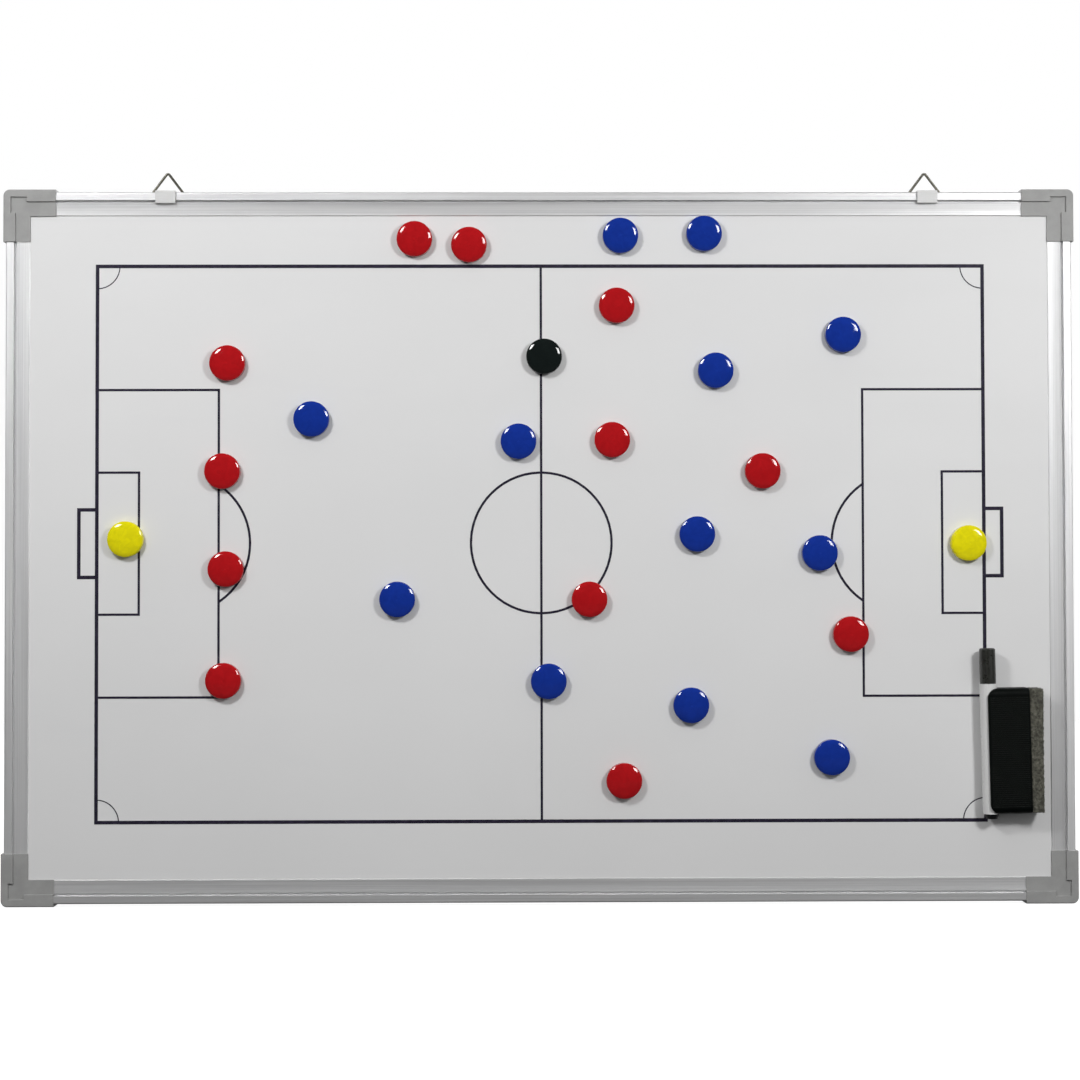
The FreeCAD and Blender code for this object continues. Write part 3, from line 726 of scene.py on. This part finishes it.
def soft_box(name, power, place, aim, width, height, spread=math.pi):
    """A soft box lamp aimed at a point, with a grid where its spread is narrowed."""
    lamp = bpy.data.lights.new(name, "AREA")
    lamp.shape = "RECTANGLE"
    lamp.size = width
    lamp.size_y = height
    lamp.energy = power
    lamp.spread = spread
    made = linked(bpy.data.objects.new(name, lamp))
    made.location = place
    made.rotation_euler = (Vector(aim) - Vector(place)).to_track_quat("-Z", "Y").to_euler()
    made.visible_camera = False
    return made


def floor_paint(look):
    """Pale specked paint that shows white far from the board, and lights it only a little."""
    material = bpy.data.materials.new("floor")
    material.use_nodes = True
    wiring = Wiring(material.node_tree)
    material.node_tree.nodes.clear()
    seen = wiring.seen()
    place = wiring.node("ShaderNodeNewGeometry").outputs["Position"]
    speck = wiring.node("ShaderNodeTexNoise", {"Vector": place, "Scale": FLOOR_SPECKS_PER_METRE,
                                               "Detail": 4.0})
    paint = wiring.node("ShaderNodeValToRGB", {"Fac": speck.outputs["Fac"]})
    for stop, share in zip(paint.color_ramp.elements, FLOOR_TONES):
        stop.color = toned(look.floor, share)
    matt = wiring.node("ShaderNodeBsdfDiffuse", {"Color": paint.outputs["Color"]})
    dim = wiring.node("ShaderNodeBsdfDiffuse", {"Color": toned(look.floor, look.floor_bounce)})
    glow = wiring.node("ShaderNodeEmission", {"Strength": look.floor_glow})
    near = wiring.node("ShaderNodeAddShader", {0: matt.outputs[0], 1: glow.outputs[0]})
    white = wiring.node("ShaderNodeEmission", {"Strength": 1.0})
    span = wiring.node("ShaderNodeVectorMath", {0: place}, operation="LENGTH")
    away = wiring.node("ShaderNodeMapRange", {"Value": span.outputs["Value"],
                                              "From Min": WHITE_FROM, "From Max": WHITE_TO},
                       interpolation_type="SMOOTHSTEP")
    shown = wiring.node("ShaderNodeMixShader", {0: away.outputs["Result"], 1: near.outputs[0],
                                                2: white.outputs[0]})
    mixed = wiring.node("ShaderNodeMixShader", {0: seen, 1: dim.outputs[0], 2: shown.outputs[0]})
    wiring.node("ShaderNodeOutputMaterial", {"Surface": mixed.outputs[0]})
    return material


def pale_floor(look):
    """A pale floor that holds shadows near the board and runs out to plain white."""
    height = cad_box[0].z - FLOOR_DROP
    mesh = bpy.data.meshes.new("floor")
    corners = [(x * FLOOR_REACH, y * FLOOR_REACH, height)
               for x, y in ((-1, -1), (1, -1), (1, 1), (-1, 1))]
    mesh.from_pydata(corners, [], [(0, 1, 2, 3)])
    floor = linked(bpy.data.objects.new("floor", mesh))
    mesh.materials.append(floor_paint(look))


def dark_card(look):
    """A dark card round the front, top and sides of the stage, for the shiny faces to mirror."""
    mesh = bpy.data.meshes.new("dark_card")
    low = cad_box[0].z - CARD_DROP
    bend = ((CARD_START, low), (CARD_FRONT, low), (CARD_FRONT, CARD_HIGH),
            (CARD_REAR, CARD_HIGH), (CARD_REAR, low))
    corners = [(side * CARD_HALF, y, z) for y, z in bend for side in (-1, 1)]
    sheet = [(turn, turn + 1, turn + 3, turn + 2) for turn in (0, 2, 4)]
    wings = [tuple(range(side + 2, len(corners), 2)) for side in (0, 1)]
    mesh.from_pydata(corners, [], sheet + wings)
    card = linked(bpy.data.objects.new("dark_card", mesh))
    card.visible_camera = card.visible_diffuse = card.visible_shadow = False
    finish = Finish("dark_card", Roughness=0.9, Specular_IOR_Level=0.0)
    finish.tone(finish.grain(size=0.05), look.card, low=0.9, high=1.1)
    mesh.materials.append(finish.material)


def white_room(look):
    """White wherever it is seen, and a low even light from all round."""
    world = bpy.data.worlds.new("white_room")
    world.use_nodes = True
    wiring = Wiring(world.node_tree)
    world.node_tree.nodes.clear()
    dim = wiring.node("ShaderNodeBackground", {"Color": WHITE, "Strength": look.sky})
    white = wiring.node("ShaderNodeBackground", {"Color": WHITE, "Strength": 1.0})
    mixed = wiring.node("ShaderNodeMixShader", {0: wiring.seen(), 1: dim.outputs[0],
                                                2: white.outputs[0]})
    wiring.node("ShaderNodeOutputWorld", {"Surface": mixed.outputs[0]})
    bpy.context.scene.world = world


def standing_camera(look):
    """The camera, a little below the board's middle and 1.7 m in front of it."""
    data = bpy.data.cameras.new("camera")
    data.lens = look.lens
    data.sensor_width = SENSOR_WIDTH
    made = linked(bpy.data.objects.new("camera", data))
    matrix = Matrix.Translation(CAMERA_PLACE)
    for angle, axis in CAMERA_TURNS:
        matrix = matrix @ Matrix.Rotation(math.radians(angle), 4, axis)
    made.matrix_world = matrix
    bpy.context.scene.camera = made


class BOARD_OT_panel(bpy.types.Operator):
    """Finish the writing sheet, the printed pitch, the core and the back sheet"""
    bl_idname = "tactics_board.panel"
    bl_label = "Panel"
    bl_options = {"REGISTER", "UNDO"}

    def execute(self, context):
        look = context.scene.tactics_board.panel
        lacquered_sheet(look).put_on("writing_sheet")
        printed_ink(look).put_on("pitch_markings")
        kraft_core(look).put_on("core_board")
        galvanised_back(look).put_on("back_sheet")
        return {"FINISHED"}


class BOARD_OT_frame(bpy.types.Operator):
    """Finish the four rails, the corner pieces and their screws"""
    bl_idname = "tactics_board.frame"
    bl_label = "Frame"
    bl_options = {"REGISTER", "UNDO"}

    def execute(self, context):
        look = context.scene.tactics_board.rails
        level = drawn_rail("level_rail", look, "x", look.level_satin, look.level_metal)
        level.put_on("top_rail", "bottom_rail")
        upright = drawn_rail("upright_rail", look, "z", look.upright_satin, look.upright_metal)
        upright.put_on("left_rail", "right_rail")
        moulded_corner(look).put_on("top_left_corner", "top_right_corner",
                                    "bottom_left_corner", "bottom_right_corner")
        plated_screw(look).put_on("corner_screws")
        return {"FINISHED"}


class BOARD_OT_hangers(bpy.types.Operator):
    """Finish the hanger clips and their wire rings"""
    bl_idname = "tactics_board.hangers"
    bl_label = "Hangers"
    bl_options = {"REGISTER", "UNDO"}

    def execute(self, context):
        look = context.scene.tactics_board.hangers
        bent_clip(look).put_on("left_hanger_clip", "right_hanger_clip")
        plated_ring(look).put_on("left_hanging_ring", "right_hanging_ring")
        return {"FINISHED"}


class BOARD_OT_magnets(bpy.types.Operator):
    """Finish the red, blue, yellow and black player magnets"""
    bl_idname = "tactics_board.magnets"
    bl_label = "Magnets"
    bl_options = {"REGISTER", "UNDO"}

    def execute(self, context):
        look = context.scene.tactics_board.magnets
        for name in ("red", "blue", "yellow", "black"):
            caps = [piece for piece in pieces if piece.startswith(name + "_magnet_")]
            if not caps:
                raise RuntimeError("there are no %s magnets" % name)
            polished_cap("magnet_" + name, getattr(look, name), look).put_on(*caps)
        return {"FINISHED"}


class BOARD_OT_eraser(bpy.types.Operator):
    """Finish the eraser's body and magnet, and make its felt pad"""
    bl_idname = "tactics_board.eraser"
    bl_label = "Eraser"
    bl_options = {"REGISTER", "UNDO"}

    def execute(self, context):
        board = context.scene.tactics_board
        eraser_plastic(board.eraser).put_on("eraser_body")
        ferrite_strip(board.magnets).put_on("eraser_magnet")
        felt = pressed_felt(board.eraser).material
        pad = felt_pad(board.eraser)
        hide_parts("eraser_felt")
        for piece in (pad, felt_fibres(pad, board.eraser)):
            piece.data.materials.clear()
            piece.data.materials.append(felt)
        return {"FINISHED"}


class BOARD_OT_pen(bpy.types.Operator):
    """Finish the pen's barrel, cap, plug, nose, nib and reservoir"""
    bl_idname = "tactics_board.pen"
    bl_label = "Pen"
    bl_options = {"REGISTER", "UNDO"}

    def execute(self, context):
        look = context.scene.tactics_board.pen
        white = pen_plastic("pen_white", look.barrel, low=0.97, high=1.02, specular=0.4)
        white.put_on("pen_barrel")
        grey = pen_plastic("pen_grey", look.cap, low=0.55, high=2.3, specular=0.8)
        grey.put_on("pen_cap")
        black = pen_plastic("pen_black", look.plug, low=0.7, high=1.3, specular=0.3)
        black.put_on("pen_end_plug", "pen_nose")
        soaked_fibre(look).put_on("pen_nib", "pen_reservoir")
        return {"FINISHED"}


class BOARD_OT_stage(bpy.types.Operator):
    """Set up the room, the floor, the dark card, the lamps and the camera"""
    bl_idname = "tactics_board.stage"
    bl_label = "Stage"
    bl_options = {"REGISTER", "UNDO"}

    def execute(self, context):
        look = context.scene.tactics_board.stage
        context.scene.view_settings.view_transform = "Standard"
        white_room(look)
        pale_floor(look)
        dark_card(look)
        # The near lamps light the board, and the far ones show only in its gloss.
        size, shine = look.box_size, look.shine_size
        for name, place, aim in NEAR_LAMPS:
            lamp = soft_box(name, getattr(look, name), place, aim, size, size)
            lamp.visible_glossy = False
        for name, place, aim in FAR_LAMPS:
            lamp = soft_box(name, getattr(look, name), place, aim, shine, shine, look.spread)
            lamp.visible_diffuse = False
        soft_box("back_lamp", look.back_lamp, BACK_LAMP_PLACE, MIDDLE, *BACK_LAMP_SIZE)
        standing_camera(look)
        return {"FINISHED"}


class BOARD_PT_tactics(bpy.types.Panel):
    """The board's pieces and their settings"""
    bl_idname = "BOARD_PT_tactics"
    bl_label = "Tactics Board"
    bl_space_type = "VIEW_3D"
    bl_region_type = "UI"
    bl_category = "Tactics Board"

    def draw(self, context):
        board = context.scene.tactics_board
        for step, group in STEPS:
            box = self.layout.box()
            box.operator(step.bl_idname)
            look = getattr(board, group)
            for key in look.__annotations__:
                box.prop(look, key)


STEPS = (
    (BOARD_OT_panel, "panel"),
    (BOARD_OT_frame, "rails"),
    (BOARD_OT_hangers, "hangers"),
    (BOARD_OT_magnets, "magnets"),
    (BOARD_OT_eraser, "eraser"),
    (BOARD_OT_pen, "pen"),
    (BOARD_OT_stage, "stage"),
)
CLASSES = (PanelLook, FrameLook, HangerLook, MagnetLook, EraserLook, PenLook, StageLook, BoardLook,
           *(step for step, _ in STEPS), BOARD_PT_tactics)


def register():
    """Adds the settings, the operators and the panel to Blender."""
    for kind in CLASSES:
        bpy.utils.register_class(kind)
    bpy.types.Scene.tactics_board = PointerProperty(
        name="Tactics board", description="Settings of the board", type=BoardLook)


def unregister():
    """Takes them out again."""
    del bpy.types.Scene.tactics_board
    for kind in reversed(CLASSES):
        bpy.utils.unregister_class(kind)


def main():
    """Finishes every piece and sets the stage."""
    register()
    for step in ("panel", "frame", "hangers", "magnets", "eraser", "pen", "stage"):
        getattr(bpy.ops.tactics_board, step)()


if __name__ == "__main__":
    main()
